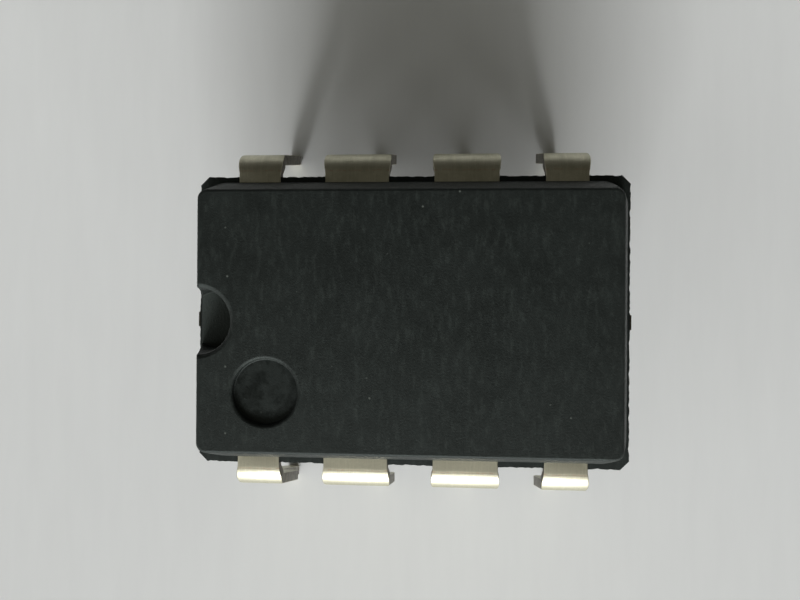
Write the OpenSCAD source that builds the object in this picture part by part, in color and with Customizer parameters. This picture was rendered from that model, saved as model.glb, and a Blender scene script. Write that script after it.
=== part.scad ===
// Eight-lead plastic dual in-line chip: moulded body, stamped lead frame, die and bond wires.
// It stands on its lead tips. X runs along the body, with the end notch at -X; Z is up.

/* [Body] */
// From the middle of an outer lead to the end of the moulded body, at the parting line
end_margin = 1.095; // [0.95:0.005:1.25]
// Width of the moulded body at the parting line
body_w = 6.42; // [6.1:0.01:6.7]
// Height of the top face above the middle of the lead frame
upper_h = 1.65; // [1.5:0.05:1.9]
// Depth of the underside below the middle of the lead frame
lower_h = 1.65; // [1.5:0.05:1.9]
// Draft of the four walls, from upright
draft = 14; // [7:0.5:16]
// Corner radius of the top face
top_corner_r = 0.2; // [0.12:0.01:0.35]
// Rounding of the top and bottom edges
edge_r = 0.06; // [0.03:0.01:0.08]

/* [Parting line] */
// How far the moulded web stands out between the leads
web_side = 0.13; // [0.1:0.01:0.2]
// How far the thin flash stands out at the two ends
flash_end = 0.06; // [0.04:0.01:0.15]
// Chamfer at the corners of the web
web_chamfer = 0.2; // [0.12:0.01:0.3]
// Depth of the broken edge left where the web was trimmed
rag_depth = 0.025; // [0.01:0.005:0.05]

/* [Notch and dimple] */
// Radius of the end notch at the top face
notch_r = 0.76; // [0.6:0.02:0.9]
// Resin left under the notch, above the lead frame
notch_floor = 0.16; // [0.1:0.02:0.4]
// Draft of the notch wall
notch_draft = 3; // [1:1:8]
// Diameter of the round dimple that marks lead 1, at the top face
dimple_d = 1.52; // [1.2:0.02:1.7]
// Depth of the dimple
dimple_depth = 0.13; // [0.06:0.01:0.2]
// Width of the dimple's sloping rim
dimple_rim = 0.07; // [0.03:0.01:0.12]
// Centre of the dimple from the notch end of the top face
dimple_from_end = 1.49; // [1.2:0.01:2.2]
// Centre of the dimple from the lead 1 side of the top face
dimple_from_side = 1.32; // [1.1:0.01:1.8]
// Diameter of the ejector marks on the underside
eject_d = 1.6; // [1.2:0.1:2]
// Depth of the ejector marks
eject_depth = 0.06; // [0.03:0.01:0.1]
// Distance between the two ejector marks
eject_span = 5.6; // [4.6:0.1:6]

/* [Leads] */
// Distance from lead to lead along a row
pitch = 2.54; // [2.5:0.01:2.6]
// Thickness of the lead frame
lead_t = 0.25; // [0.2:0.01:0.3]
// Flat part of a lead between the web and its bend
shoulder_flat = 0.095; // [0.05:0.005:0.2]
// Width of the shoulders
shoulder_w = 1.5; // [1.3:0.02:1.7]
// Width of the narrow legs
leg_w = 0.48; // [0.4:0.02:0.56]
// Inside radius of the bends
bend_r = 0.25; // [0.2:0.01:0.3]
// Outward splay of the legs, from upright
splay = 10.4; // [4:0.1:13]
// Height of the underside above the shoulders' lower ends
standoff = 0.51; // [0.38:0.01:0.8]
// Height of the shoulders' lower ends above the lead tips
tail_h = 2.92; // [2.8:0.02:3.8]
// Radius where a shoulder runs into its leg
step_fillet = 0.16; // [0.08:0.02:0.2]
// Radius of a shoulder's lower corners
step_round = 0.1; // [0.05:0.01:0.15]
// Width of a lead tip
tip_w = 0.28; // [0.2:0.02:0.36]
// Height of the taper at a lead tip
tip_taper = 0.4; // [0.2:0.05:0.6]

/* [Lead frame inside] */
// Length of the die pad
pad_l = 3; // [2.6:0.1:3.3]
// Width of the die pad
pad_w = 2.4; // [2:0.1:2.7]
// Drop of the die pad below the leads
pad_drop = 0.2; // [0.1:0.02:0.26]
// Corner radius of the die pad
pad_corner_r = 0.15; // [0.1:0.01:0.3]
// Width of the tie bars that carry the die pad to the ends
tie_w = 0.34; // [0.26:0.02:0.44]
// How far the cut ends of the tie bars stand proud of the flash
tie_proud = 0.03; // [0.02:0.01:0.08]
// Run of the slope by which a tie bar drops to the pad
tie_slope = 0.35; // [0.25:0.05:0.5]
// Gap between the die pad and the lead fingers
finger_gap = 0.3; // [0.2:0.02:0.4]
// Width of the lead fingers
finger_w = 0.5; // [0.4:0.02:0.6]
// How far a shoulder reaches into the body
shoulder_in = 0.95; // [0.8:0.05:1.1]
// Diameter of the locking hole in each shoulder
lock_d = 0.44; // [0.3:0.02:0.5]
// Middle of the locking hole inside the body wall
lock_in = 0.5; // [0.4:0.02:0.6]

/* [Die and bond wires] */
// Length of the silicon die
die_l = 1.9; // [1.4:0.05:2.2]
// Width of the silicon die
die_w = 1.5; // [1.1:0.05:1.7]
// Thickness of the silicon die
die_t = 0.28; // [0.2:0.02:0.34]
// Thickness of the die attach layer
attach_t = 0.03; // [0.02:0.005:0.05]
// Margin of the die attach layer round the die
attach_margin = 0.08; // [0.04:0.01:0.12]
// Diameter of the bond wires
wire_d = 0.03; // [0.025:0.001:0.04]
// Diameter of the ball and stitch bonds
bond_d = 0.09; // [0.07:0.005:0.11]
// Height of the ball and stitch bonds
bond_h = 0.03; // [0.02:0.005:0.04]
// Height to which the bond wires rise above the die
loop_h = 0.24; // [0.16:0.02:0.32]
// Inset of the bonds from the die's edges and the fingers' ends
bond_inset = 0.14; // [0.12:0.01:0.18]

/* [Hidden] */
leads_a_row = 4;
lead_count = 2 * leads_a_row;
$fn = 64;
eps = 0.02;
arc_steps = 4;

body_l = (leads_a_row - 1) * pitch + 2 * end_margin;
z_seat = tail_h;
z_under = z_seat + standoff;
z_mid = z_under + lower_h;
z_top = z_mid + upper_h;
frame_top = z_mid + lead_t / 2;
frame_under = z_mid - lead_t / 2;

inset_up = (upper_h - lead_t / 2) * tan(draft);
inset_low = (lower_h - lead_t / 2) * tan(draft);
// Corner radius at the parting line, to a whole micrometre so that the walls and corners meet
corner_r = ceil(1000 * (top_corner_r + max(inset_up, inset_low))) / 1000;
top_l = body_l - 2 * inset_up;
top_w = body_w - 2 * inset_up;
web_l = body_l + 2 * flash_end;
web_w = body_w + 2 * web_side;

bend_out = bend_r + lead_t;
y_bend = web_w / 2 + shoulder_flat;
y_in = body_w / 2 - shoulder_in;
y_finger = pad_w / 2 + finger_gap;
x_finger = pad_l / 2 + finger_gap;

pad_top = frame_top - pad_drop;
die_base = pad_top + attach_t;
die_top = die_base + die_t;

rag_step = 0.13;
// Narrowest step between a shoulder and its leg that has corners of its own
least_step = 0.01;
wire_sides = 6;
wire_rings = 11;
// Where a wire's second control point stands, from its ball at 0 to its stitch at 1
wire_reach = 0.75;
// Step along a wire that gives its direction
wire_step = 0.01;

// Points along an arc about a centre, from one angle to another
function arc(centre, r, from, to, steps = arc_steps) =
    [for (i = [0:steps]) let (a = from + (to - from) * i / steps) centre + r * [cos(a), sin(a)]];

function reversed(points) = [for (i = [1:len(points)]) points[len(points) - i]];

// A rectangle centred on the origin, with round corners
function round_rect(l, w, r) =
    [for (q = [0:3]) let (sx = q == 0 || q == 3 ? 1 : -1, sy = q < 2 ? 1 : -1)
        each arc([sx * (l / 2 - r), sy * (w / 2 - r)], r, 90 * q, 90 * q + 90)];

// Middle of the lead in column c, counted from the notch end
function column_x(c) = (c - (leads_a_row - 1) / 2) * pitch;

// The outer leads have a shoulder on their inner side only
function west_side(c) = c == 0 ? -leg_w / 2 : -shoulder_w / 2;
function east_side(c) = c == leads_a_row - 1 ? leg_w / 2 : shoulder_w / 2;

// One side of the body's cross-section, out from the corner centres: out, up
function wall_points() =
    let (k = edge_r / tan(45 + draft / 2),
         up = [corner_r - inset_up - k, z_top - edge_r],
         low = [corner_r - inset_low - k, z_under + edge_r])
    concat(arc(low, edge_r, -90, -draft), [[corner_r, frame_under], [corner_r, frame_top]],
           arc(up, edge_r, draft, 90));

// The drafted block: a long middle with both side walls, then two end walls and four turned corners
module moulded_block() {
    straight_l = body_l - 2 * corner_r;
    straight_w = body_w - 2 * corner_r;
    north = [for (p = wall_points()) p + [straight_w / 2, 0]];
    rotate([90, 0, 90]) linear_extrude(straight_l, center = true)
        polygon(concat(north, [for (p = reversed(north)) [-p[0], p[1]]]));
    end_wall = concat([[0, z_under]], wall_points(), [[0, z_top]]);
    for (turn = [0, 180]) rotate(turn) translate([straight_l / 2, 0, 0]) rotate([90, 0, 0])
        linear_extrude(straight_w, center = true) polygon(end_wall);
    for (sx = [0, 1], sy = [0, 1]) mirror([sx, 0, 0]) mirror([0, sy, 0])
        translate([straight_l / 2, straight_w / 2, 0]) rotate_extrude(angle = 90) polygon(end_wall);
}

// Depth of the broken edge at a step, the same at every build
function rag(i, seed) = rag_depth * abs(sin(97 * i + 61 * seed) * cos(53 * i + 29 * seed));

// A trimmed edge between two places on a line, ragged between and true at its ends
function ragged(from, to, seed) =
    let (n = max(1, floor((to - from) / rag_step)))
    [for (i = [1:n]) [from + (to - from) * i / (n + 1), rag(i, seed)]];

// One long edge of the web, running towards +X: ragged between the leads and true beside them
function web_side_points(seed) =
    let (stops = concat([-web_l / 2 + web_chamfer],
                        [for (c = [0:leads_a_row - 1])
                            each [column_x(c) + west_side(c), column_x(c) + east_side(c)]],
                        [web_l / 2 - web_chamfer]))
    [for (g = [0:leads_a_row])
        each concat([[stops[2 * g], 0]], ragged(stops[2 * g], stops[2 * g + 1], seed + g),
                    [[stops[2 * g + 1], 0]])];

// One short edge of the web, running towards +Y: true beside the tie bar
function web_end_points(seed) =
    let (stop = web_w / 2 - web_chamfer)
    concat([[-stop, 0]], ragged(-stop, -tie_w / 2, seed), [[-tie_w / 2, 0], [tie_w / 2, 0]],
           ragged(tie_w / 2, stop, seed + 1), [[stop, 0]]);

// The web and flash that the mould left at the parting line
module web() {
    outline = concat([for (p = web_side_points(1)) [p[0], -web_w / 2 + p[1]]],
                     [for (p = web_end_points(7)) [web_l / 2 - p[1], p[0]]],
                     [for (p = web_side_points(11)) [-p[0], web_w / 2 - p[1]]],
                     [for (p = web_end_points(17)) [-web_l / 2 + p[1], -p[0]]]);
    translate([0, 0, frame_under]) linear_extrude(lead_t) polygon(outline);
}

// The half-round notch in the upper half, at the end beside lead 1
module notch_cut() {
    floor_z = frame_top + notch_floor;
    depth = z_top + eps - floor_z;
    translate([-top_l / 2, 0, floor_z])
        cylinder(h = depth, r1 = notch_r - depth * tan(notch_draft), r2 = notch_r);
}

module dimple_cut() {
    slope = dimple_rim / dimple_depth;
    translate([-top_l / 2 + dimple_from_end, -top_w / 2 + dimple_from_side, z_top - dimple_depth])
        cylinder(h = dimple_depth + eps, r1 = dimple_d / 2 - dimple_rim, r2 = dimple_d / 2 + eps * slope);
}

module ejector_cuts() {
    for (sx = [-1, 1]) translate([sx * eject_span / 2, 0, z_under - eps])
        cylinder(h = eject_depth + eps, d = eject_d);
}

// Moulded resin, with room for everything that it was moulded round
module body() {
    color("#2c302f") difference() {
        union() {
            moulded_block();
            web();
        }
        notch_cut();
        dimple_cut();
        ejector_cuts();
        for (i = [1:lead_count]) lead_flat(i);
        pad_shape();
        attach_shape();
        die_shape();
        for (i = [1:lead_count]) wire_shape(i);
    }
}

// Outline of an inner lead's flat part, in the quarter at -X and +Y
function inner_outline() =
    let (x = column_x(1), w = west_side(1), e = east_side(1), f = finger_w / 2)
    [[x + w, y_bend], [x + w, y_in], [x - f, y_in - (-f - w) / 2], [x - f, y_finger],
     [x + f, y_finger], [x + f, y_in - (e - f) / 2], [x + e, y_in], [x + e, y_bend]];

// Outline of an outer lead's flat part, which turns in to the end of the pad
function outer_outline() =
    let (x = column_x(0), w = west_side(0), e = east_side(0),
         low = tie_w / 2 + finger_gap, high = low + finger_w, run = x_finger + finger_w)
    [[x + w, y_bend], [x + w, y_in], [-run - finger_w, low], [-x_finger, low],
     [-x_finger, high], [-run, high], [x + e, y_in], [x + e, y_bend]];

// Which column and row a lead stands in, counted anticlockwise from the notch seen from above
function lead_column(i) = i <= leads_a_row ? i - 1 : lead_count - i;
function on_north(i) = i > leads_a_row;
function is_outer(i) = lead_column(i) == 0 || lead_column(i) == leads_a_row - 1;

// Carry a shape from the quarter at -X and +Y to a lead's own quarter
module to_quarter(i) {
    mirror([lead_column(i) >= leads_a_row / 2 ? 1 : 0, 0, 0])
        mirror([0, on_north(i) ? 0 : 1, 0]) children();
}

// The flat part of a lead, with its locking hole
module lead_flat(i) {
    column = is_outer(i) ? 0 : 1;
    hole_x = column_x(column) + (west_side(column) + east_side(column)) / 2;
    to_quarter(i) translate([0, 0, frame_under]) linear_extrude(lead_t) difference() {
        polygon(is_outer(i) ? outer_outline() : inner_outline());
        translate([hole_x, body_w / 2 - lock_in]) circle(d = lock_d);
    }
}

// The bend and the sloping leg, seen along the row: out, up
module leg_profile() {
    axis = [y_bend, frame_top - bend_out];
    along = [sin(splay), -cos(splay)];
    out = [cos(splay), sin(splay)];
    length = (axis[1] + bend_out) / cos(splay);
    intersection() {
        difference() {
            translate(axis) circle(r = bend_out);
            translate(axis) circle(r = bend_r);
        }
        polygon([axis, axis + 2 * bend_out * [0, 1], axis + 2 * bend_out * [1, 1], axis + 2 * bend_out * out]);
    }
    polygon([axis + bend_r * out, axis + bend_out * out,
             axis + bend_out * out + length * along, axis + bend_r * out + length * along]);
}

// From a shoulder's side down to the leg's side: nothing where the two are flush
function step_points(side) =
    let (s = sign(side), room = abs(side) - leg_w / 2,
         fillet = min(step_fillet, room / 2), corner = min(step_round, room / 2))
    room < least_step ? [] : concat(
        [for (p = arc([abs(side) - corner, z_seat + corner], corner, 0, -90)) [s * p[0], p[1]]],
        [for (p = arc([leg_w / 2 + fillet, z_seat - fillet], fillet, 90, 180)) [s * p[0], p[1]]]);

// Front outline of the bend and leg, seen across the row: along the row, up
function front_points(w, e) =
    concat([[w, frame_top + eps]], step_points(w), [[-leg_w / 2, tip_taper], [-tip_w / 2, 0],
           [tip_w / 2, 0], [leg_w / 2, tip_taper]], reversed(step_points(e)), [[e, frame_top + eps]]);

// One lead: flat part in the resin, shoulder, bend, and a leg that narrows below the seating plane
module lead_leg(i) {
    column = is_outer(i) ? 0 : 1;
    reach = y_bend + bend_out + z_mid * tan(splay);
    to_quarter(i) intersection() {
        translate([column_x(column) - shoulder_w, 0, 0]) rotate([90, 0, 90])
            linear_extrude(2 * shoulder_w) leg_profile();
        translate([column_x(column), 2 * reach, 0]) rotate([90, 0, 0])
            linear_extrude(2 * reach) polygon(front_points(west_side(column), east_side(column)));
    }
}

module lead(i) {
    color("#a9a68c") {
        lead_flat(i);
        lead_leg(i);
    }
}

// The pad and its two tie bars, in one stamping
module pad_shape() {
    translate([0, 0, pad_top - lead_t]) linear_extrude(lead_t)
        polygon(round_rect(pad_l, pad_w, pad_corner_r));
    foot = pad_l / 2 - pad_corner_r;
    rise = pad_l / 2 + tie_slope;
    tip = web_l / 2 + tie_proud;
    for (turn = [0, 180]) rotate(turn) rotate([90, 0, 0]) linear_extrude(tie_w, center = true)
        polygon([[foot, pad_top - lead_t], [pad_l / 2, pad_top - lead_t], [rise, frame_under],
                 [tip, frame_under], [tip, frame_top], [rise, frame_top], [pad_l / 2, pad_top], [foot, pad_top]]);
}

module die_pad() {
    color("#b98a5e") pad_shape();
}

module attach_shape() {
    l = die_l + 2 * attach_margin;
    w = die_w + 2 * attach_margin;
    translate([-l / 2, -w / 2, pad_top]) cube([l, w, attach_t]);
}

module die_attach() {
    color("#b9bbb8") attach_shape();
}

module die_shape() {
    translate([-die_l / 2, -die_w / 2, die_base]) cube([die_l, die_w, die_t]);
}

module die() {
    color("#4b5468") die_shape();
}

// Ends of a bond wire in the quarter at -X and +Y: on the die, and on the lead finger
function wire_start(outer) = outer
    ? [-die_l / 2 + bond_inset, tie_w / 2 + finger_gap, die_top]
    : [-die_l / 4, die_w / 2 - bond_inset, die_top];
function wire_end(outer) = outer
    ? [-x_finger - bond_inset, tie_w / 2 + finger_gap + finger_w / 2, frame_top]
    : [column_x(1), y_finger + bond_inset, frame_top];

// A point on the wire's centre line, from its ball at 0 to its stitch at 1
function wire_point(a, b, t) =
    let (up = [0, 0, 1], from = a + up * bond_h / 2, to = b + up * bond_h / 2, rise = 4 * loop_h / 3)
    from * pow(1 - t, 3) + (from + up * rise) * 3 * t * pow(1 - t, 2)
    + (to * wire_reach + from * (1 - wire_reach) + up * rise) * 3 * pow(t, 2) * (1 - t) + to * pow(t, 3);

// Corner points of a wire's ring: one direction lies level, the other square to it and the run
function wire_ring(a, b, t) =
    let (here = wire_point(a, b, t),
         run = wire_point(a, b, min(1, t + wire_step)) - wire_point(a, b, max(0, t - wire_step)),
         level = [-(b - a)[1], (b - a)[0], 0] / norm([(b - a)[0], (b - a)[1]]),
         square = cross(run, level) / norm(run))
    [for (k = [0:wire_sides - 1]) let (q = 360 * (k + 0.5) / wire_sides)
        here + wire_d / 2 * (cos(q) * level + sin(q) * square)];

module wire_run(a, b) {
    points = [for (r = [0:wire_rings - 1]) each wire_ring(a, b, r / (wire_rings - 1))];
    last = (wire_rings - 1) * wire_sides;
    sides = [for (r = [0:wire_rings - 2], k = [0:wire_sides - 1])
        let (p = r * wire_sides + k, n = r * wire_sides + (k + 1) % wire_sides)
        each [[n, p, p + wire_sides], [n, p + wire_sides, n + wire_sides]]];
    polyhedron(points, concat([[for (k = [0:wire_sides - 1]) k]], sides,
                              [[for (k = [0:wire_sides - 1]) last + wire_sides - 1 - k]]));
}

module wire_shape(i) {
    a = wire_start(is_outer(i));
    b = wire_end(is_outer(i));
    to_quarter(i) {
        for (p = [a, b]) translate(p) cylinder(h = bond_h, d = bond_d);
        wire_run(a, b);
    }
}

module bond_wire(i) {
    color("#d9b45a") wire_shape(i);
}

body();
for (i = [1:lead_count]) lead(i);
die_pad();
die_attach();
die();
for (i = [1:lead_count]) bond_wire(i);
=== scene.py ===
import math

import bmesh
import bpy
from mathutils import Euler, Matrix, Vector


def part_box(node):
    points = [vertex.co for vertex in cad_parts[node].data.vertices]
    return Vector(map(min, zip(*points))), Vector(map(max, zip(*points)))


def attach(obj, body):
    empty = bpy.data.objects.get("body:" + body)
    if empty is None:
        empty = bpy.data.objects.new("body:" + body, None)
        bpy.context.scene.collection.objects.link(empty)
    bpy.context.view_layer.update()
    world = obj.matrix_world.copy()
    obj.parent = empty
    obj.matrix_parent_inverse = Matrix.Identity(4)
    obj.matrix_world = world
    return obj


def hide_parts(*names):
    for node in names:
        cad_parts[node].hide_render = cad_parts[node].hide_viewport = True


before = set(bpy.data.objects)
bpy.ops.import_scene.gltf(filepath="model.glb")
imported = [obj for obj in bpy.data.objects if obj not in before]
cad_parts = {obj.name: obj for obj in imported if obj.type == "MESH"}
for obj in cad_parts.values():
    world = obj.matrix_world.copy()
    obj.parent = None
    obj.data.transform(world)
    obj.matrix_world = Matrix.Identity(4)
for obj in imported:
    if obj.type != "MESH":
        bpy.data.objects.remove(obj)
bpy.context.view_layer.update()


# Leads
# Eight leads stamped side by side from 0.25 mm copper alloy strip, plated with dull tin-lead solder, and bent
# down over an anvil once the resin has set. Wide shoulders carry the chip above its board; the legs splay.

# Sizes are in millimetres, and plain angles in degrees
MM = 0.001
LEAD_COUNT, CORNER_LEADS = 8, (1, 4, 5, 8)
PITCH = 2.54
INNER_X, OUTER_X = 0.5 * PITCH, 1.5 * PITCH
STRIP_T = 0.25
EDGE_ROLL = 0.022
SHOULDER_HALF = 0.75
LEG_HALF = 0.24
TIP_HALF = 0.14
TIP_TAPER = 0.4
STEP_FILLET = 0.16
STEP_ROUND = 0.1
SEAT_Z = 2.92
SPLAY = math.radians(10.4)
BEND_MID_R = 0.375
BEND_START = 3.435
BEND_SWELL = 0.045
SHOULDER_IN = 2.26
FINGER_W = 0.5
INNER_TIP_Y, INNER_NECK = 1.5, 0.225
OUTER_TIP_X, OUTER_TIP_Y, OUTER_TURN_X = -1.8, 0.47, -2.8
LOCK_HOLE_R = 0.22
LOCK_HOLE_OUT = 2.71
LOCK_HOLE_POINTS = 24
BEND_CUTS = 14
BEND_EDGE = 0.03
SAME_POINT, ON_CUT = 0.0005, 0.00001
SAME_PLANE, LEAD_SHARP = 0.5, 38

strip_mid_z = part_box("lead_2")[1].z / MM - STRIP_T / 2
bend_axis_z = strip_mid_z - BEND_MID_R
bend_turn = math.pi / 2 - SPLAY
bend_length = BEND_MID_R * bend_turn
leg_top_z = bend_axis_z + BEND_MID_R * math.sin(SPLAY)
leg_length = leg_top_z / math.cos(SPLAY)
strip_end = bend_length + leg_length


def down_strip(z):
    """How far along the strip, from the start of the bend, the leg passes a height"""
    return bend_length + (leg_top_z - z) / math.cos(SPLAY)


def arc(x, y, r, start, end, steps=5):
    """Points on a round corner, from one angle to another in degrees"""
    turns = [math.radians(start + (end - start) * i / steps) for i in range(steps + 1)]
    return [(x + r * math.cos(a), y + r * math.sin(a)) for a in turns]


def shoulder_side(half):
    """One side of a blank below its bend: shoulder, step, narrow leg and tapered tip"""
    seat = down_strip(SEAT_Z)
    side = []
    if half > LEG_HALF:
        side += arc(half - STEP_ROUND, seat - STEP_ROUND, STEP_ROUND, 0, 90)
        side += arc(LEG_HALF + STEP_FILLET, seat + STEP_FILLET, STEP_FILLET, 270, 180)
    return side + [(LEG_HALF, strip_end - TIP_TAPER), (TIP_HALF, strip_end)]


def blank_outline(outer):
    """The flat blank of a lead at the left end of the upper row: across it, and along it from the bend"""
    west = LEG_HALF if outer else SHOULDER_HALF
    if outer:
        middle_x = -OUTER_X
        low_y, high_y = OUTER_TIP_Y, OUTER_TIP_Y + FINGER_W
        finger = [(OUTER_TURN_X, low_y), (OUTER_TIP_X, low_y), (OUTER_TIP_X, high_y),
                  (OUTER_TURN_X + FINGER_W, high_y)]
    else:
        middle_x = -INNER_X
        left_x, right_x = middle_x - FINGER_W / 2, middle_x + FINGER_W / 2
        neck_y = INNER_TIP_Y + INNER_NECK
        finger = [(left_x, neck_y), (left_x, INNER_TIP_Y), (right_x, INNER_TIP_Y), (right_x, neck_y)]
    inner = [(x - middle_x, y - BEND_START) for x, y in finger]
    root = SHOULDER_IN - BEND_START
    right = shoulder_side(SHOULDER_HALF)
    left = [(-x, y) for x, y in reversed(shoulder_side(west))]
    return [(-west, root)] + inner + [(SHOULDER_HALF, root)] + right + left


def stamped_blank(outer):
    """The blank as a mesh in millimetres: stamped edges rolled over, and a hole that locks it in the resin"""
    curve = bpy.data.curves.new("blank", "CURVE")
    curve.dimensions = "2D"
    curve.fill_mode = "BOTH"
    curve.extrude = STRIP_T / 2 - EDGE_ROLL
    curve.bevel_depth = EDGE_ROLL
    curve.offset = -EDGE_ROLL
    curve.bevel_resolution = 2
    hole_x = (SHOULDER_HALF - (LEG_HALF if outer else SHOULDER_HALF)) / 2
    last_turn = 360 - 360 / LOCK_HOLE_POINTS
    hole = arc(hole_x, LOCK_HOLE_OUT - BEND_START, LOCK_HOLE_R, 0, last_turn, LOCK_HOLE_POINTS - 1)
    for loop in (blank_outline(outer), hole):
        spline = curve.splines.new("POLY")
        spline.points.add(len(loop) - 1)
        spline.use_cyclic_u = True
        for point, (x, y) in zip(spline.points, loop):
            point.co = (x, y, 0, 1)
    shape = bpy.data.objects.new("blank", curve)
    flat = bpy.data.meshes.new_from_object(shape)
    bpy.data.objects.remove(shape)
    return flat


def bent(across, along, above):
    """Where a point of the flat blank goes when the strip is bent: along the row, out, up"""
    half = STRIP_T / 2
    if along <= 0:
        return across, BEND_START + along, strip_mid_z + above
    if along < bend_length:
        turn = along / BEND_MID_R
        swell = BEND_SWELL * math.sin(math.pi * along / bend_length) * -above / half
        across += math.copysign(swell, across) * min(1, abs(across) / LEG_HALF)
        r = BEND_MID_R + above
        return across, BEND_START + r * math.sin(turn), bend_axis_z + r * math.cos(turn)
    down = along - bend_length
    level = max(0, 1 - (strip_end - along) / TIP_HALF)
    down += above * math.tan(SPLAY) * level
    r = BEND_MID_R + above
    return (across, BEND_START + r * math.cos(SPLAY) + down * math.sin(SPLAY),
            bend_axis_z + r * math.sin(SPLAY) - down * math.cos(SPLAY))


def settle(made):
    """Puts an object's modifiers into its mesh"""
    bpy.context.view_layer.update()
    done = bpy.data.meshes.new_from_object(made.evaluated_get(bpy.context.evaluated_depsgraph_get()))
    made.modifiers.clear()
    made.data = done


def even_shading(made, turn):
    """Smooth shading that keeps flat faces flat, and an edge sharp where it turns by more than an angle"""
    made.data.shade_smooth()
    made.data.set_sharp_from_angle(angle=math.radians(turn))
    even = made.modifiers.new("even", "WEIGHTED_NORMAL")
    even.keep_sharp = True
    settle(made)


def bend_lead(name, outer):
    """Cuts the blank across where it has to bend, bends it, and sets it in its own row and column"""
    form = bmesh.new()
    form.from_mesh(stamped_blank(outer))
    bmesh.ops.remove_doubles(form, verts=form.verts, dist=SAME_POINT)
    bmesh.ops.dissolve_limit(form, angle_limit=math.radians(SAME_PLANE), verts=form.verts, edges=form.edges)
    cuts = [bend_length * i / BEND_CUTS for i in range(BEND_CUTS + 1)]
    cuts += [-BEND_EDGE, bend_length + BEND_EDGE, strip_end - TIP_HALF]
    for along in cuts:
        geometry = form.verts[:] + form.edges[:] + form.faces[:]
        bmesh.ops.bisect_plane(form, geom=geometry, plane_co=(0, along, 0), plane_no=(0, 1, 0), dist=ON_CUT)
    low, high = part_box(name)
    east, north = high.x + low.x > 0, high.y + low.y > 0
    middle_x = -OUTER_X if outer else -INNER_X
    blank_place = form.verts.layers.float_vector.new("blank")
    for v in form.verts:
        v[blank_place] = v.co.copy()
        x, y, z = bent(*v.co)
        x += middle_x
        v.co = Vector((-x if east else x, y if north else -y, z)) * MM
    if east == north:
        bmesh.ops.reverse_faces(form, faces=form.faces)
    mesh = bpy.data.meshes.new(name + "_formed")
    form.to_mesh(mesh)
    form.free()
    lead = bpy.data.objects.new(name + "_formed", mesh)
    bpy.context.scene.collection.objects.link(lead)
    even_shading(lead, LEAD_SHARP)
    return lead


def new_finish(name):
    """A material, its node tree and its shader"""
    finish = bpy.data.materials.new(name)
    finish.use_nodes = True
    return finish, finish.node_tree, finish.node_tree.nodes["Principled BSDF"]


def add(tree, kind, inputs=None, **settings):
    """Adds a node, sets it up, and fills or links its inputs"""
    made = tree.nodes.new("ShaderNode" + kind)
    for key, value in settings.items():
        setattr(made, key, value)
    for key, value in (inputs or {}).items():
        if isinstance(value, bpy.types.NodeSocket):
            tree.links.new(value, made.inputs[key])
        else:
            made.inputs[key].default_value = value
    return made


def grain(tree, place, stretch, scale, detail=4.0, rough=0.55):
    """Cloudy noise over a surface, stretched differently along each direction"""
    spread = add(tree, "Mapping", {"Vector": place, "Scale": stretch})
    return add(tree, "TexNoise", {"Vector": spread.outputs[0], "Scale": scale, "Detail": detail,
                                  "Roughness": rough}).outputs["Fac"]


def between(tree, value, low, high, to_low=0.0, to_high=1.0):
    """Stretches a value from one range to another, clamped"""
    return add(tree, "MapRange", {"Value": value, "From Min": low, "From Max": high, "To Min": to_low,
                                  "To Max": to_high}).outputs["Result"]


def maths(tree, operation, a, b=0.0):
    """One step of arithmetic on one or two values"""
    return add(tree, "Math", {0: a, 1: b}, operation=operation).outputs[0]


def blend_colour(tree, share, first, second):
    """A colour that goes from the first to the second as a share rises"""
    mixed = add(tree, "Mix", {"Factor": share}, data_type="RGBA")
    for socket, value in ((mixed.inputs[6], first), (mixed.inputs[7], second)):
        if isinstance(value, bpy.types.NodeSocket):
            tree.links.new(value, socket)
        else:
            socket.default_value = (*value, 1)
    return mixed.outputs[2]


def bend_crack(tree, place, along):
    """A fine crack that wanders across the strip where its bend begins"""
    wander = maths(tree, "MULTIPLY", grain(tree, place, (1, 0, 0), 3, 3), 0.07)
    away = maths(tree, "ABSOLUTE", maths(tree, "SUBTRACT", along, wander))
    return between(tree, away, 0.004, 0.02, 1, 0)


def sheared_side(tree, place):
    """The strip's sheared sides, unevenly smeared with plate, where they are painted dark: partly bare
    copper's tarnish, partly painted shade
    """
    sideways = add(tree, "SeparateXYZ", {0: add(tree, "NewGeometry").outputs["Normal"]}).outputs[0]
    side = between(tree, maths(tree, "ABSOLUTE", sideways), 0.72, 0.92)
    smeared = between(tree, grain(tree, place, (1, 1, 1), 6, 4), 0.42, 0.68, 0.96, 0.62)
    return maths(tree, "MULTIPLY", side, smeared)


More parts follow.
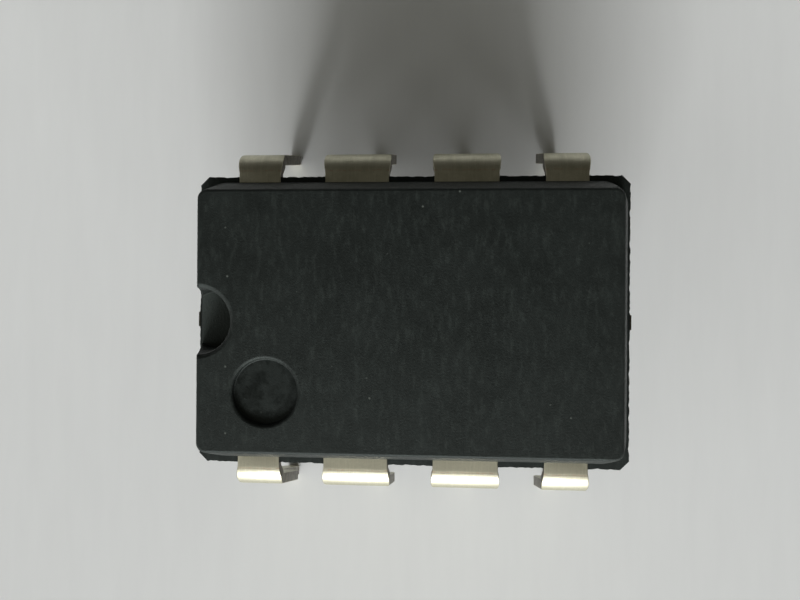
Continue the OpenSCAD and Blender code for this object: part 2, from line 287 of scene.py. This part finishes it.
def solder_plate():
    """Dull tin-lead plate, rolled along the strip, cracked at the bend; bare copper at the tip's end; sheared
    sides dark, partly tarnish and partly painted shade
    """
    bright, dull = (0.60, 0.58, 0.46), (0.46, 0.445, 0.34)
    # The dark colour of the sheared sides is partly the tarnish of bare copper and partly painted shade
    copper, tarnish = (0.50, 0.27, 0.17), (0.095, 0.080, 0.062)
    finish, tree, shader = new_finish("solder_plate")
    shader.inputs["Metallic"].default_value = 1.0
    place = add(tree, "Attribute", attribute_name="blank").outputs["Vector"]
    along = add(tree, "SeparateXYZ", {0: place}).outputs[1]
    cloud = grain(tree, place, (1, 1, 1), 4, 5, 0.6)
    drawn = grain(tree, place, (1, 0.06, 1), 34, 3, 0.6)
    mottle = maths(tree, "ADD", maths(tree, "MULTIPLY", cloud, 0.7), maths(tree, "MULTIPLY", drawn, 0.3))
    colour = blend_colour(tree, between(tree, mottle, 0.36, 0.62), dull, bright)
    crack = bend_crack(tree, place, along)
    gaping = between(tree, grain(tree, place, (1, 0.2, 1), 9), 0.40, 0.60, 0, 0.35)
    tip = between(tree, along, strip_end - 0.03, strip_end - 0.015)
    bare = maths(tree, "MAXIMUM", maths(tree, "MULTIPLY", crack, gaping), tip)
    # Painted shade, in part: the sheared sides, picked by the way they face, are darkened towards the tarnish
    # colour
    colour = blend_colour(tree, sheared_side(tree, place), colour, tarnish)
    tree.links.new(blend_colour(tree, bare, colour, copper), shader.inputs["Base Color"])
    tree.links.new(between(tree, mottle, 0.35, 0.65, 0.51, 0.40), shader.inputs["Roughness"])
    lines = maths(tree, "ADD", maths(tree, "MULTIPLY", drawn, 0.6), maths(tree, "MULTIPLY", cloud, 0.6))
    relief = add(tree, "Bump", {"Height": maths(tree, "SUBTRACT", lines, maths(tree, "MULTIPLY", crack, 0.5)),
                                "Strength": 0.3, "Distance": 0.005 * MM})
    tree.links.new(relief.outputs[0], shader.inputs["Normal"])
    return finish


lead_finish = solder_plate()
for number in range(1, LEAD_COUNT + 1):
    node_name = f"lead_{number}"
    formed = bend_lead(node_name, number in CORNER_LEADS)
    formed.data.materials.append(lead_finish)
    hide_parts(node_name)
    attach(formed, "root")


# Die pad, die attach, die and bond wires
# A copper alloy pad set a little lower than the leads carries the silicon die on a film of silver-filled
# paste. Gold wires, ball-bonded to the die, are stitched to the lead fingers; the resin seals them all in.

TARNISH_FROM, TARNISH_FULL = 4.8, 4.88


def object_place(tree):
    """Places on a CAD piece in millimetres"""
    where = add(tree, "TexCoord").outputs["Object"]
    return add(tree, "VectorMath", {0: where, "Scale": 1 / MM}, operation="SCALE").outputs[0]


def plain_finish(name, dark, light, rough, scale, stretch=(1, 1, 1), metallic=0.0, relief=0.002):
    """A finish of two close colours, clouded at one scale, with a fine relief of the same pattern"""
    finish, tree, shader = new_finish(name)
    shader.inputs["Metallic"].default_value = metallic
    cloud = grain(tree, object_place(tree), stretch, scale, 5)
    share = between(tree, cloud, 0.35, 0.65)
    tree.links.new(blend_colour(tree, share, dark, light), shader.inputs["Base Color"])
    tree.links.new(between(tree, cloud, 0.3, 0.7, rough + 0.06, rough - 0.06), shader.inputs["Roughness"])
    bump = add(tree, "Bump", {"Height": cloud, "Strength": 0.5, "Distance": relief * MM})
    tree.links.new(bump.outputs[0], shader.inputs["Normal"])
    return finish


def patterned_silicon():
    """The die's top: blocks of fine parallel lines under a thin glassy coat, blue to violet in the light"""
    blue, violet, track = (0.06, 0.07, 0.12), (0.16, 0.12, 0.20), (0.45, 0.44, 0.40)
    finish, tree, shader = new_finish("patterned_silicon")
    shader.inputs["Metallic"].default_value = 0.6
    shader.inputs["Coat Weight"].default_value = 0.6
    place = object_place(tree)
    blocks = add(tree, "TexVoronoi", {"Vector": place, "Scale": 3.2, "Randomness": 0.8}, distance="CHEBYCHEV")
    lines = add(tree, "TexWave", {"Vector": place, "Scale": 9.0, "Distortion": 0.0}, wave_type="BANDS")
    hue = add(tree, "SeparateColor", {0: blocks.outputs["Color"]}).outputs[0]
    base = blend_colour(tree, hue, blue, violet)
    tracks = between(tree, lines.outputs["Fac"], 0.55, 0.75, 0, 0.6)
    tree.links.new(blend_colour(tree, tracks, base, track), shader.inputs["Base Color"])
    tree.links.new(between(tree, hue, 0, 1, 0.18, 0.3), shader.inputs["Roughness"])
    return finish


def wear(node, finish):
    """Gives a CAD piece its finish"""
    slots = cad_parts[node].material_slots
    for each in slots:
        each.material = finish
    if not slots:
        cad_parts[node].data.materials.append(finish)


def bare_copper():
    """Copper alloy, bright inside the resin; the cut ends of the tie bars, outside it, have tarnished dark"""
    finish = plain_finish("bare_copper", (0.50, 0.29, 0.19), (0.72, 0.45, 0.31), rough=0.42, scale=6,
                          stretch=(1, 0.1, 1), metallic=1.0)
    tree, shader = finish.node_tree, finish.node_tree.nodes["Principled BSDF"]
    bright = shader.inputs["Base Color"].links[0].from_socket
    out = maths(tree, "ABSOLUTE", add(tree, "SeparateXYZ", {0: object_place(tree)}).outputs[0])
    tarnish = between(tree, out, TARNISH_FROM, TARNISH_FULL)
    tree.links.new(blend_colour(tree, tarnish, bright, (0.085, 0.075, 0.055)), shader.inputs["Base Color"])
    return finish


wear("die_pad", bare_copper())
wear("die_attach", plain_finish("silver_paste", (0.30, 0.31, 0.30), (0.58, 0.58, 0.56), rough=0.55, scale=14,
                                metallic=0.5))
wear("die", patterned_silicon())
gold = plain_finish("drawn_gold", (0.78, 0.50, 0.16), (0.95, 0.68, 0.28), rough=0.25, scale=20, metallic=1.0)
for number in range(1, LEAD_COUNT + 1):
    wear(f"bond_wire_{number}", gold)


# Moulded body
# Black epoxy filled with fused silica, moulded round the frame in two drafted halves. The cavity's eroded
# faces leave it matt, the pin that forms the dimple leaves it smoother, and the web broke off ragged.

body_low, body_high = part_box("body")
UNDER_Z, TOP_Z = body_low.z / MM, body_high.z / MM
WEB_LOW, WEB_HIGH = strip_mid_z - STRIP_T / 2, strip_mid_z + STRIP_T / 2
WEB_HALF_L, WEB_HALF_W = body_high.x / MM, body_high.y / MM
WEB_END, WEB_SIDE = 0.06, 0.13
BODY_HALF_L, BODY_HALF_W = WEB_HALF_L - WEB_END, WEB_HALF_W - WEB_SIDE
DRAFT = math.tan(math.radians(14))
TOP_CORNER_R = 0.2
EDGE_R = 0.075
PIN_EDGE_R, PIN_EDGE_TURN, BODY_SHARP = 0.025, 28, 40
PIN_REACH = 0.05
NOTCH_STEP = 0.16
NOTCH_R, NOTCH_FLOOR_Z, NOTCH_DRAFT = 0.76, WEB_HIGH + NOTCH_STEP, math.tan(math.radians(3))
DIMPLE_R, DIMPLE_DEPTH, DIMPLE_TAPER = 0.76, 0.13, 0.01
NOTCH_CHAMFER, DIMPLE_CHAMFER, RIM_TURN = 0.08, 0.05, 35
DIMPLE_FROM_END, DIMPLE_FROM_SIDE = 1.49, 1.32
EJECTOR_R, EJECTOR_DEPTH, EJECTOR_X = 0.8, 0.06, 2.8
WEB_CHAMFER = 0.2
WEB_STEP, WEB_LEVELS = 0.07, 4
WEB_ROOT = 0.1
TIE_HALF = 0.17
BITE, BITE_SIDE_SHIFT, BITE_LEVEL_SHIFT = 0.0132, 3, 0.4
BITE_WAVES = ((5.3, 1.0, 1.0), (13.7, 0.6, 2.1), (31.1, 0.5, 3.7))


def corner_ring(half_l, half_w, r, z, steps=10):
    """A ring of points round the body: a rectangle with round corners"""
    ring = []
    for x, y, start in ((1, 1, 0), (-1, 1, 90), (-1, -1, 180), (1, -1, 270)):
        corner = arc(x * (half_l - r), y * (half_w - r), r, start, start + 90, steps)
        ring += [(px, py, z) for px, py in corner]
    return ring


def wall_stations():
    """Inset and height of the body's wall, from the underside's flat over both walls to the top's flat"""
    rise = TOP_Z - WEB_HIGH
    inset = rise * DRAFT
    lean = math.degrees(math.atan(DRAFT))
    setback = EDGE_R / math.tan(math.radians(45 + lean / 2))
    over = [(inset + setback - x, TOP_Z - EDGE_R + z) for x, z in arc(0, 0, EDGE_R, lean, 90, 6)]
    under = [(x, UNDER_Z + TOP_Z - z) for x, z in reversed(over)]
    return under + [(0, WEB_LOW), (0, WEB_HIGH)] + over


def loft(rings):
    """A closed mesh through rings of equally many points"""
    form = bmesh.new()
    loops = [[form.verts.new(p) for p in ring] for ring in rings]
    count = len(loops[0])
    for low, high in zip(loops, loops[1:]):
        for i in range(count):
            form.faces.new((low[i], low[(i + 1) % count], high[(i + 1) % count], high[i]))
    form.faces.new(list(reversed(loops[0])))
    form.faces.new(loops[-1])
    return form


def shaped(name, form):
    """An object, in millimetres for now, from a mesh under construction"""
    mesh = bpy.data.meshes.new(name)
    bmesh.ops.recalc_face_normals(form, faces=form.faces)
    form.to_mesh(mesh)
    form.free()
    made = bpy.data.objects.new(name, mesh)
    bpy.context.scene.collection.objects.link(made)
    return made


def pin(name, x, y, profile, segments=96):
    """A round pin of the mould, turned to a profile of heights and radii from its lower end up"""
    turns = [2 * math.pi * i / segments for i in range(segments)]
    rings = [[(x + r * math.cos(turn), y + r * math.sin(turn), z) for turn in turns] for z, r in profile]
    return shaped(name, loft(rings))


def rim(r, chamfer):
    """The end of a pin's profile: a chamfer up to the top face, carried on a little above it"""
    slope = math.tan(math.radians(RIM_TURN))
    return [(TOP_Z - chamfer * slope, r - chamfer), (TOP_Z + PIN_REACH, r + PIN_REACH / slope)]


def carve(made, tool, operation):
    """Joins a tool to an object or cuts it out, and clears the tool away"""
    cut = made.modifiers.new("cut", "BOOLEAN")
    cut.operation = operation
    cut.solver = "EXACT"
    cut.object = tool
    settle(made)
    bpy.data.objects.remove(tool)


def moulded_block():
    """Both drafted halves with the marks of the mould's pins, the pins' edges slightly rounded"""
    top_inset = (TOP_Z - WEB_HIGH) * DRAFT
    rings = [corner_ring(BODY_HALF_L - inset, BODY_HALF_W - inset, TOP_CORNER_R + top_inset - inset, z)
             for inset, z in wall_stations()]
    block = shaped("body_moulded", loft(rings))
    top_l, top_w = BODY_HALF_L - top_inset, BODY_HALF_W - top_inset
    notch_low_r = NOTCH_R - NOTCH_CHAMFER / 2 - (TOP_Z - NOTCH_FLOOR_Z) * NOTCH_DRAFT
    notch = [(NOTCH_FLOOR_Z, notch_low_r)] + rim(NOTCH_R + NOTCH_CHAMFER / 2, NOTCH_CHAMFER)
    dimple_low_r = DIMPLE_R - DIMPLE_CHAMFER - DIMPLE_TAPER
    dimple = [(TOP_Z - DIMPLE_DEPTH, dimple_low_r)] + rim(DIMPLE_R, DIMPLE_CHAMFER)
    ejector = [(UNDER_Z - PIN_REACH, EJECTOR_R), (UNDER_Z + EJECTOR_DEPTH, EJECTOR_R)]
    pins = [pin("notch_pin", -top_l, 0, notch),
            pin("dimple_pin", -top_l + DIMPLE_FROM_END, -top_w + DIMPLE_FROM_SIDE, dimple),
            pin("ejector_pin", -EJECTOR_X, 0, ejector),
            pin("ejector_pin", EJECTOR_X, 0, ejector)]
    for tool in pins:
        carve(block, tool, "DIFFERENCE")
    edge = block.modifiers.new("edge", "BEVEL")
    edge.width = PIN_EDGE_R
    edge.segments = 4
    edge.limit_method = "ANGLE"
    edge.angle_limit = math.radians(PIN_EDGE_TURN)
    edge.use_clamp_overlap = False
    settle(block)
    return block


def broken(run, seed):
    """How far in the web broke at a place along its edge: short bites and longer waves"""
    return BITE * abs(sum(depth * math.sin(run * rate + seed * shift) for rate, depth, shift in BITE_WAVES))


def web_stretches():
    """The web's edge as straight stretches: where each starts and stops along its side, and how far in"""
    long, short = WEB_HALF_L - WEB_CHAMFER, WEB_HALF_W - WEB_CHAMFER
    inside = WEB_HALF_W - BODY_HALF_W + WEB_ROOT
    stops = [-long]
    for middle, west, east in ((-OUTER_X, LEG_HALF, SHOULDER_HALF), (-INNER_X, SHOULDER_HALF, SHOULDER_HALF),
                               (INNER_X, SHOULDER_HALF, SHOULDER_HALF), (OUTER_X, SHOULDER_HALF, LEG_HALF)):
        stops += [middle - west, middle + east]
    stops.append(long)
    row = []
    for i in range(0, len(stops), 2):
        row.append((stops[i], stops[i + 1], 0))
        if i + 2 < len(stops):
            row.append((stops[i + 1], stops[i + 2], inside))
    end = [(-short, -TIE_HALF, 0), (TIE_HALF, short, 0)]
    return row, end


def web():
    """The thin web left at the parting line: its edge torn, a little different at each depth"""
    row, end = web_stretches()
    sides = [(row, (1, 0), (0, -WEB_HALF_W), (0, 1)), (end, (0, 1), (WEB_HALF_L, 0), (-1, 0)),
             (row, (-1, 0), (0, WEB_HALF_W), (0, -1)), (end, (0, -1), (-WEB_HALF_L, 0), (1, 0))]
    rings = []
    for level in range(WEB_LEVELS):
        z = WEB_LOW + (WEB_HIGH - WEB_LOW) * level / (WEB_LEVELS - 1)
        ring = []
        for number, (stretches, (dx, dy), (mx, my), (ix, iy)) in enumerate(sides):
            seed = number * BITE_SIDE_SHIFT + BITE_LEVEL_SHIFT * level
            for start, stop, inward in stretches:
                count = max(1, round((stop - start) / WEB_STEP))
                for i in range(count + 1):
                    run = start + (stop - start) * i / count
                    torn = 0 < i < count and inward == 0
                    bite = broken(run, seed) if torn else inward
                    ring.append((mx + dx * run + ix * bite, my + dy * run + iy * bite, z))
        rings.append(ring)
    return shaped("web", loft(rings))


body = moulded_block()
carve(body, web(), "UNION")
body.data.transform(Matrix.Scale(MM, 4))
even_shading(body, BODY_SHARP)


def level_floor(tree, z, up, floor_z, below, above, share=1.0):
    """How fully a point belongs to a level floor: it faces up, and lies close enough below or above it"""
    under = between(tree, z, floor_z - below[0], floor_z - below[1])
    over = between(tree, z, floor_z + above[1], floor_z + above[0], 1, 0)
    flat = between(tree, up, 0.9, 0.97, 0, share)
    return maths(tree, "MULTIPLY", maths(tree, "MULTIPLY", under, over), flat)


def filler_specks(tree, place):
    """A few pale round specks, where single grains of the filler lie bare"""
    dots = add(tree, "TexVoronoi", {"Vector": place, "Scale": 2.6, "Randomness": 1.0})
    chosen = add(tree, "SeparateColor", {0: dots.outputs["Color"]}).outputs[0]
    return maths(tree, "MULTIPLY", between(tree, dots.outputs["Distance"], 0.04, 0.075, 1, 0),
                 between(tree, chosen, 0.80, 0.82))


def filled_resin():
    """Matt black epoxy: faint cloud, short flecks of filler, a few specks, a smoother, darker dimple, and
    painted light on the notch's floor
    """
    black, worn_black, filler = (0.0045, 0.0055, 0.0050), (0.0080, 0.0098, 0.0090), (0.034, 0.041, 0.037)
    speck, painted_light_grey = (0.13, 0.145, 0.13), (0.042, 0.050, 0.046)
    pin_black, pin_grey = (0.0004, 0.0008, 0.0007), (0.0075, 0.0092, 0.0086)
    finish, tree, shader = new_finish("filled_resin")
    shader.inputs["Specular Tint"].default_value = (0.87, 1.0, 0.95, 1)
    shader.inputs["Specular IOR Level"].default_value = 0.34
    place = object_place(tree)
    z = add(tree, "SeparateXYZ", {0: place}).outputs[2]
    up = add(tree, "SeparateXYZ", {0: add(tree, "NewGeometry").outputs["Normal"]}).outputs[2]
    cloud = grain(tree, place, (1, 1, 1), 1.1, 5, 0.6)
    skin = grain(tree, place, (1, 1, 1), 24, 4, 0.7)
    fleck = grain(tree, place, (1, 0.32, 1), 8, 5, 0.7)
    sunk = level_floor(tree, z, up, TOP_Z - DIMPLE_DEPTH, (0.08, 0.04), (0.06, 0.02))
    # Painted light: the notch's floor is picked out, to be made a lighter grey standing in for the light that
    # reaches down into the notch
    notch_painted_light = level_floor(tree, z, up, NOTCH_FLOOR_Z, (0.06, 0.03), (0.06, 0.03), 0.8)
    tone = maths(tree, "ADD", maths(tree, "MULTIPLY", cloud, 0.5), maths(tree, "MULTIPLY", fleck, 0.5))
    base = blend_colour(tree, between(tree, tone, 0.40, 0.60), black, worn_black)
    base = blend_colour(tree, between(tree, fleck, 0.52, 0.68, 0, 0.30), base, filler)
    base = blend_colour(tree, maths(tree, "MULTIPLY", filler_specks(tree, place), 0.6), base, speck)
    patch = between(tree, grain(tree, place, (1, 1, 1), 3.4, 4, 0.6), 0.42, 0.60)
    pin_mark = blend_colour(tree, patch, pin_black, pin_grey)
    base = blend_colour(tree, maths(tree, "MULTIPLY", sunk, 0.8), base, pin_mark)
    # Painted light: the notch's floor takes a lighter grey than the black resin
    tree.links.new(blend_colour(tree, notch_painted_light, base, painted_light_grey), shader.inputs["Base Color"])
    dull = between(tree, tone, 0.38, 0.62, 0.55, 0.64)
    smooth = maths(tree, "MULTIPLY", sunk, between(tree, patch, 0, 1, 0.15, 0.04))
    tree.links.new(maths(tree, "SUBTRACT", dull, smooth), shader.inputs["Roughness"])
    calm = maths(tree, "SUBTRACT", 1.0, maths(tree, "MULTIPLY", sunk, 0.5))
    height = maths(tree, "MULTIPLY", maths(tree, "ADD", skin, fleck), calm)
    relief = add(tree, "Bump", {"Height": height, "Strength": 0.7, "Distance": 0.012 * MM})
    tree.links.new(relief.outputs[0], shader.inputs["Normal"])
    return finish


body.data.materials.clear()
body.data.materials.append(filled_resin())
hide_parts("body")
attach(body, "root")


# Paper under the chip
# A sheet of plain white paper on a table; the chip stands on its lead tips. It isn't part of the object.

PAPER_HALF = 150 * MM


def paper():
    """White paper, its pulp faintly clouded and drawn out along one way"""
    grey_white, white = (0.635, 0.648, 0.645), (0.675, 0.69, 0.685)
    finish, tree, shader = new_finish("paper")
    place = object_place(tree)
    pulp = grain(tree, place, (1, 0.15, 1), 1.8, 6, 0.6)
    broad = grain(tree, place, (1, 1, 1), 0.05, 2)
    tone = maths(tree, "ADD", maths(tree, "MULTIPLY", pulp, 0.5), maths(tree, "MULTIPLY", broad, 0.5))
    colour = blend_colour(tree, between(tree, tone, 0.3, 0.7), grey_white, white)
    tree.links.new(colour, shader.inputs["Base Color"])
    shader.inputs["Roughness"].default_value = 0.9
    shader.inputs["Specular IOR Level"].default_value = 0.2
    relief = add(tree, "Bump", {"Height": pulp, "Strength": 0.15, "Distance": 0.02 * MM})
    tree.links.new(relief.outputs[0], shader.inputs["Normal"])
    return finish


sheet = bpy.data.meshes.new("paper")
corners = [(-PAPER_HALF, -PAPER_HALF, 0), (PAPER_HALF, -PAPER_HALF, 0), (PAPER_HALF, PAPER_HALF, 0),
           (-PAPER_HALF, PAPER_HALF, 0)]
sheet.from_pydata(corners, [], [(0, 1, 2, 3)])
sheet.materials.append(paper())
paper_sheet = bpy.data.objects.new("paper", sheet)
bpy.context.scene.collection.objects.link(paper_sheet)


# Light
# A low window with a lit wall round it on the side of leads 1 to 4, and a weaker one beyond the notched end.
# The room is dim, and lighter towards the first window; near the horizon it shows as a pale backdrop.

LAMP_DISTANCE = 2.0
ROOM_SOUTH = (0.172, 0.166, 0.137)
ROOM_NORTH = (0.050, 0.048, 0.040)
BACKDROP_SOUTH = (0.93, 0.94, 0.935)
BACKDROP_NORTH = (0.43, 0.435, 0.43)


def area_light(name, turn, rise, width, height, power):
    """A soft rectangular light aimed at the chip: metres across, degrees from south and above the table"""
    lamp = bpy.data.lights.new(name, "AREA")
    lamp.shape = "RECTANGLE"
    lamp.size = width
    lamp.size_y = height
    lamp.energy = power
    light = bpy.data.objects.new(name, lamp)
    turn, rise = math.radians(turn), math.radians(rise)
    towards = Vector((math.sin(turn) * math.cos(rise), -math.cos(turn) * math.cos(rise), math.sin(rise)))
    light.location = towards * LAMP_DISTANCE
    light.rotation_euler = towards.to_track_quat("Z", "Y").to_euler()
    bpy.context.scene.collection.objects.link(light)


def dim_room():
    """The room's light on the chip, and the backdrop that the camera and shiny pieces see near the horizon"""
    room = bpy.data.worlds.new("room")
    room.use_nodes = True
    tree = room.node_tree
    way = add(tree, "SeparateXYZ", {0: add(tree, "TexCoord").outputs["Generated"]}).outputs
    north, up = way[1], way[2]
    sky = blend_colour(tree, between(tree, north, -0.45, 0.3), ROOM_SOUTH, ROOM_NORTH)
    backdrop = blend_colour(tree, between(tree, north, -0.8, 0.7), BACKDROP_SOUTH, BACKDROP_NORTH)
    backdrop = blend_colour(tree, between(tree, up, 0.15, 0.24), backdrop, sky)
    ray = add(tree, "LightPath").outputs
    shown = maths(tree, "ADD", ray["Is Glossy Ray"], ray["Is Transmission Ray"])
    shown = maths(tree, "MINIMUM", maths(tree, "ADD", ray["Is Camera Ray"], shown), 1.0)
    tree.links.new(blend_colour(tree, shown, sky, backdrop), tree.nodes["Background"].inputs["Color"])
    return room


area_light("window", turn=-2, rise=27.5, width=1.05, height=0.60, power=45)
area_light("lit_wall", turn=-2, rise=27, width=2.9, height=0.75, power=25)
area_light("side_window", turn=-66, rise=30, width=1.2, height=1.2, power=5)
bpy.context.scene.world = dim_room()


# Camera
# Held straight above the chip, close to it, a little to the right of its middle.

CAMERA_PLACE = Vector((0.997, 0.485, 22.649)) * MM
CAMERA_TURN = Euler((0.0001, 0.0715, 0.0066), "XYZ")
CAMERA_LENS = 34.07

eye = bpy.data.cameras.new("camera")
eye.lens = CAMERA_LENS
eye.sensor_width = 36
eye.clip_start = 0.1 * MM
eye.clip_end = 10000 * MM
camera = bpy.data.objects.new("camera", eye)
camera.location = CAMERA_PLACE
camera.rotation_euler = CAMERA_TURN
bpy.context.scene.collection.objects.link(camera)
bpy.context.scene.camera = camera
bpy.context.scene.view_settings.view_transform = "Standard"
